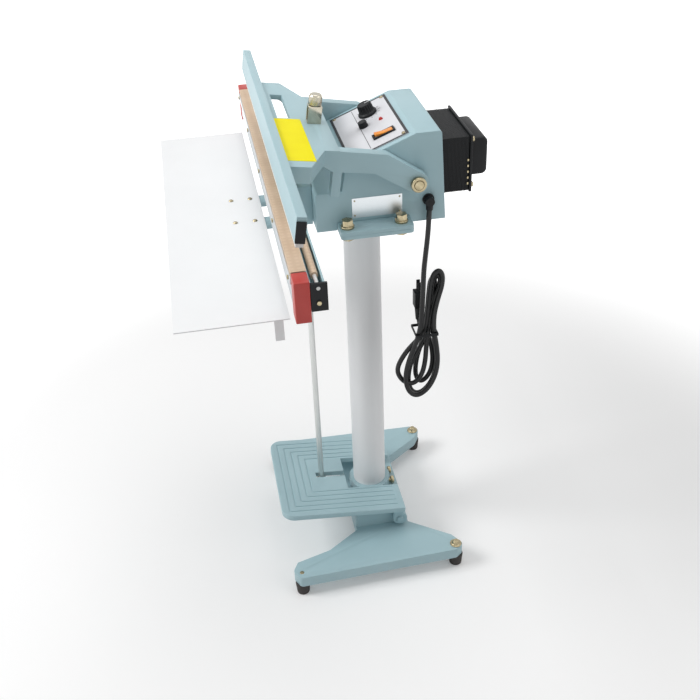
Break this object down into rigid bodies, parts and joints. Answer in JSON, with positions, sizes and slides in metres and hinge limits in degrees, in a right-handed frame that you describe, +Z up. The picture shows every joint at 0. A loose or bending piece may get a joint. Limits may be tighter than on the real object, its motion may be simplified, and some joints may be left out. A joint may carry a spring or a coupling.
{
  "type": "impulse heat sealer",
  "caption": "Pedestal impulse heat sealer: a foot pedal pulls a rod that shuts a hinged upper jaw on a heated lower jaw, with work table, timer panel, transformer and tied power cord.",
  "frame": {"origin": "on the floor, at the middle of the machine's box without its cord", "axes": "+X along the jaws, -Y towards the operator and the work table, +Z up"},
  "size_m": [0.758, 0.496, 0.8406],
  "materials": {
    "green_grey_paint": "semi-gloss enamel over a casting",
    "white_paint": "white powder coat",
    "black_paint": "black varnish on steel laminations",
    "rubber": "moulded black rubber",
    "nickel": "nickel-plated fasteners",
    "zinc": "bright zinc on steel bar",
    "chrome": "polished chrome",
    "aluminium": "mill-finish aluminium",
    "steel": "plain steel",
    "element": "nickel-chromium strip",
    "tan_cloth": "PTFE-coated glass cloth",
    "white_silicone": "white silicone rubber",
    "red_plastic": "moulded red plastic",
    "black_plastic": "moulded black plastic",
    "orange_plastic": "moulded orange plastic",
    "lamp_red": "clear red plastic",
    "panel_print": "printed aluminium sheet",
    "yellow_film": "yellow vinyl film",
    "cord_pvc": "black PVC sheath",
    "board_green": "fibreglass circuit board"
  },
  "bodies": {
    "stand": {"base_casting": "green_grey_paint", "rubber_feet": "rubber", "foot_screws": "nickel", "column_tube": "white_paint", "column_clamp_bolts": "nickel", "pedal_axle": "green_grey_paint", "column_flange": "green_grey_paint", "housing_base_plate": "green_grey_paint", "mount_bolts": "nickel", "housing_shell": "green_grey_paint", "pivot_shaft": "nickel", "pivot_nuts": "nickel", "circuit_board": "board_green", "control_relay": "black_plastic", "micro_switch": "black_plastic", "nameplate": "aluminium", "control_panel": "panel_print", "panel_screws": "nickel", "timer_spindle": "steel", "fuse_holder": "black_plastic", "indicator_lamp": "lamp_red", "switch_bezel": "black_plastic", "transformer_pad": "black_paint", "transformer_core": "black_paint", "transformer_flange": "black_paint", "transformer_coil": "black_plastic", "transformer_screws": "nickel", "lower_jaw_bar": "aluminium", "heating_element": "element", "ptfe_cloth": "tan_cloth", "cloth_clamp_strip": "aluminium", "lower_jaw_screws": "nickel", "end_caps": "red_plastic", "rear_beam": "green_grey_paint", "roll_end_plates": "black_plastic", "jaw_carriers": "green_grey_paint", "work_table": "white_paint", "table_brackets": "green_grey_paint", "table_screws": "nickel", "cord_gland": "black_plastic", "cord_drop": "cord_pvc", "cord_hank": "cord_pvc", "cord_tie": "black_plastic", "power_plug": "black_plastic"},
    "foot_pedal": {"foot_pedal": "green_grey_paint"},
    "arm": {"arm_casting": "green_grey_paint", "clevis_pin": "zinc", "upper_jaw_bar": "green_grey_paint", "upper_jaw_plugs": "black_plastic", "silicone_strip": "white_silicone", "arm_label": "yellow_film", "upper_jaw_bolts": "chrome", "adjuster_clip": "chrome"},
    "adjuster": {"adjusting_screw": "chrome"},
    "pull_rod": {"pull_rod": "zinc", "rod_nut": "nickel"},
    "timer_knob": {"timer_knob": "black_plastic"},
    "rocker": {"rocker_switch": "orange_plastic"},
    "cloth_roll": {"roll_core": "white_silicone", "ptfe_roll": "tan_cloth"}
  },
  "joints": [
    {"name": "arm_close", "type": "hinge", "parent": "stand", "child": "arm", "pos_m": [0, 0.1226, 0.7313], "axis": [1, 0, 0], "range_deg": [0, 8.4], "stiffness_Nm_per_rad": 45, "springref_deg": -25.78},
    {"name": "pedal_press", "type": "hinge", "parent": "stand", "child": "foot_pedal", "pos_m": [0, 0.094, 0.062], "axis": [1, 0, 0], "range_deg": [0, 10.3]},
    {"name": "rod_swing", "type": "hinge", "parent": "arm", "child": "pull_rod", "pos_m": [0, -0.03468, 0.77422], "axis": [1, 0, 0], "range_deg": [-8.4, 0]},
    {"name": "adjuster_turn", "type": "hinge", "parent": "arm", "child": "adjuster", "pos_m": [0, -0.01061, 0.79661], "axis": [0, 0.1478, 0.989], "continuous": true},
    {"name": "timer_turn", "type": "hinge", "parent": "stand", "child": "timer_knob", "pos_m": [-0.042, 0.08066, 0.78529], "axis": [0, -0.3646, 0.9312], "range_deg": [-135, 135]},
    {"name": "rocker_flip", "type": "hinge", "parent": "stand", "child": "rocker", "pos_m": [0.05, 0.08643, 0.78701], "axis": [1, 0, 0], "range_deg": [0, 16]},
    {"name": "roll_spin", "type": "hinge", "parent": "stand", "child": "cloth_roll", "pos_m": [0, -0.066, 0.729], "axis": [1, 0, 0], "continuous": true}
  ],
  "couplings": [
    {"joint": "pedal_press", "follows": "arm_close", "ratio": 1.2262},
    {"joint": "rod_swing", "follows": "arm_close", "ratio": -1}
  ]
}
